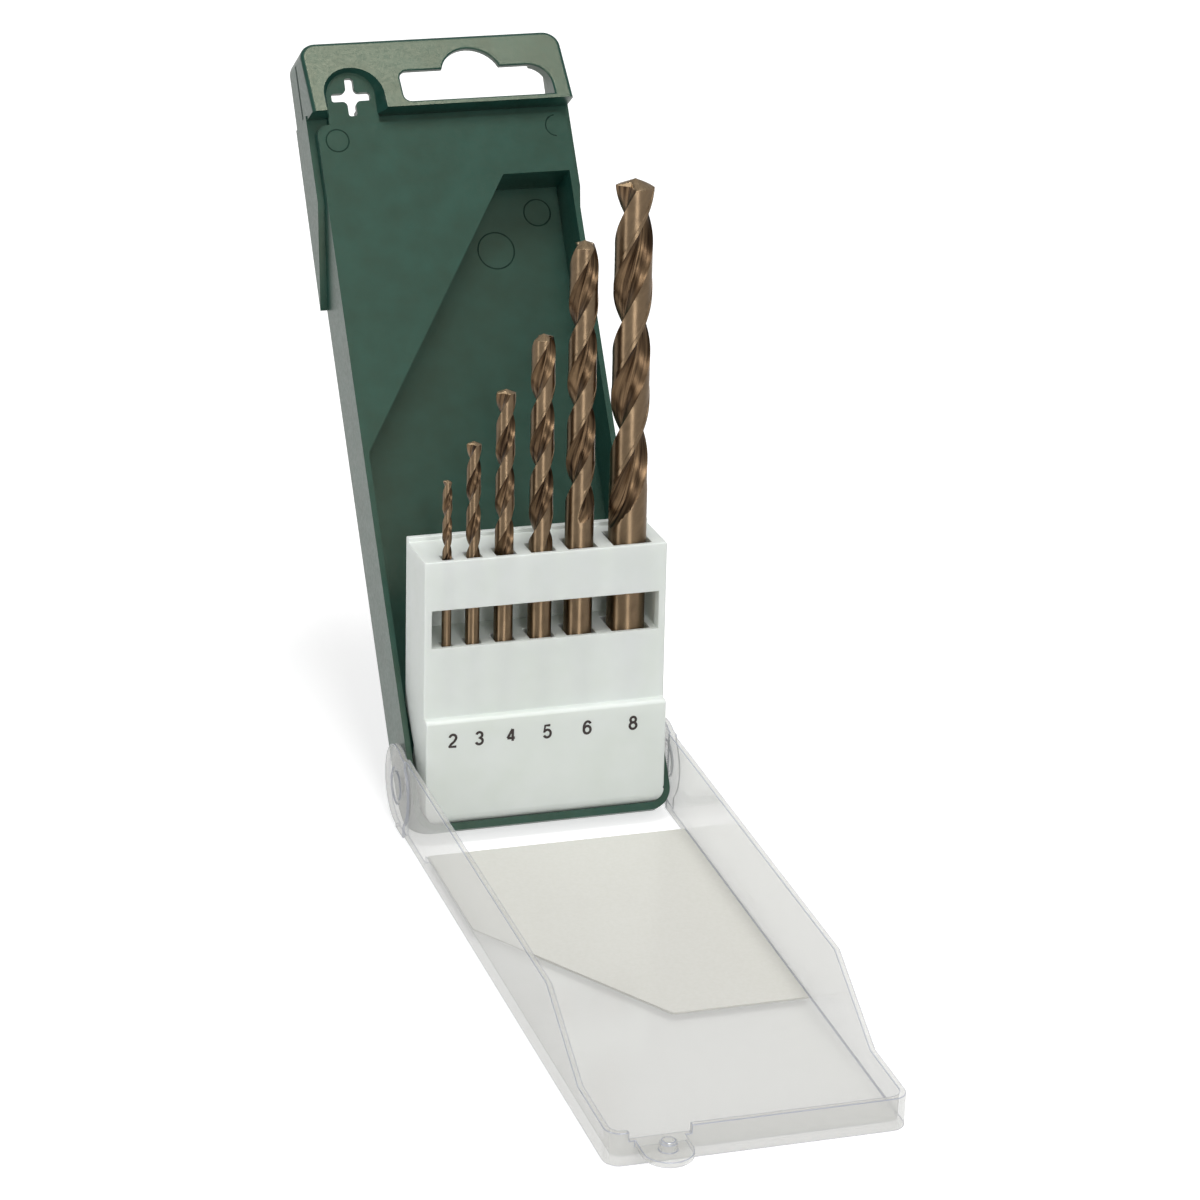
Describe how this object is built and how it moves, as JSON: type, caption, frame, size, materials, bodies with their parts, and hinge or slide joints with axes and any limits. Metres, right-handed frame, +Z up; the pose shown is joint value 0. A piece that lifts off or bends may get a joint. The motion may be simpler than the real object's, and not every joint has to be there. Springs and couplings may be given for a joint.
{
  "type": "drill bit case",
  "caption": "Hinged hanging case with a clear lid that opens into a foot, a tilting holder and twist drills standing in it by size.",
  "frame": {"origin": "middle of the outline at table level", "axes": "+Z up, +Y from the lid towards the leaning shell, +X towards the largest drill"},
  "size_m": [0.06, 0.2566, 0.1438],
  "materials": {
    "shell": "satin dark green moulded plastic",
    "lid": "clear moulded plastic",
    "card": "blank off-white card",
    "holder": "satin off-white moulded plastic",
    "drill": "ground steel with a bronze tint"
  },
  "bodies": {
    "shell": {"back_shell": "shell"},
    "lid": {"lid": "lid", "label_card": "card"},
    "holder": {"bit_holder": "holder"},
    "drill_2": {"drill_bit_2mm": "drill"},
    "drill_3": {"drill_bit_3mm": "drill"},
    "drill_4": {"drill_bit_4mm": "drill"},
    "drill_5": {"drill_bit_5mm": "drill"},
    "drill_6": {"drill_bit_6mm": "drill"},
    "drill_8": {"drill_bit_8mm": "drill"}
  },
  "joints": [
    {"name": "lid_hinge", "type": "hinge", "parent": "shell", "child": "lid", "pos_m": [0, 0.02686, 0.00955], "axis": [-1, 0, 0], "range_deg": [0, 125.9]},
    {"name": "holder_tilt", "type": "hinge", "parent": "shell", "child": "holder", "pos_m": [0, 0.02686, 0.00955], "axis": [-1, 0, 0], "range_deg": [0, 33.1]},
    {"name": "drill_2_lift", "type": "slide", "parent": "holder", "child": "drill_2", "axis": [0, -0.0489, -0.9988], "range_m": [-0.042, 0]},
    {"name": "drill_3_lift", "type": "slide", "parent": "holder", "child": "drill_3", "axis": [0, -0.0489, -0.9988], "range_m": [-0.042, 0]},
    {"name": "drill_4_lift", "type": "slide", "parent": "holder", "child": "drill_4", "axis": [0, -0.0489, -0.9988], "range_m": [-0.042, 0]},
    {"name": "drill_5_lift", "type": "slide", "parent": "holder", "child": "drill_5", "axis": [0, -0.0489, -0.9988], "range_m": [-0.042, 0]},
    {"name": "drill_6_lift", "type": "slide", "parent": "holder", "child": "drill_6", "axis": [0, -0.0489, -0.9988], "range_m": [-0.042, 0]},
    {"name": "drill_8_lift", "type": "slide", "parent": "holder", "child": "drill_8", "axis": [0, -0.0489, -0.9988], "range_m": [-0.042, 0]}
  ],
  "couplings": [
    {"joint": "holder_tilt", "follows": "lid_hinge", "ratio": 0.26291}
  ]
}
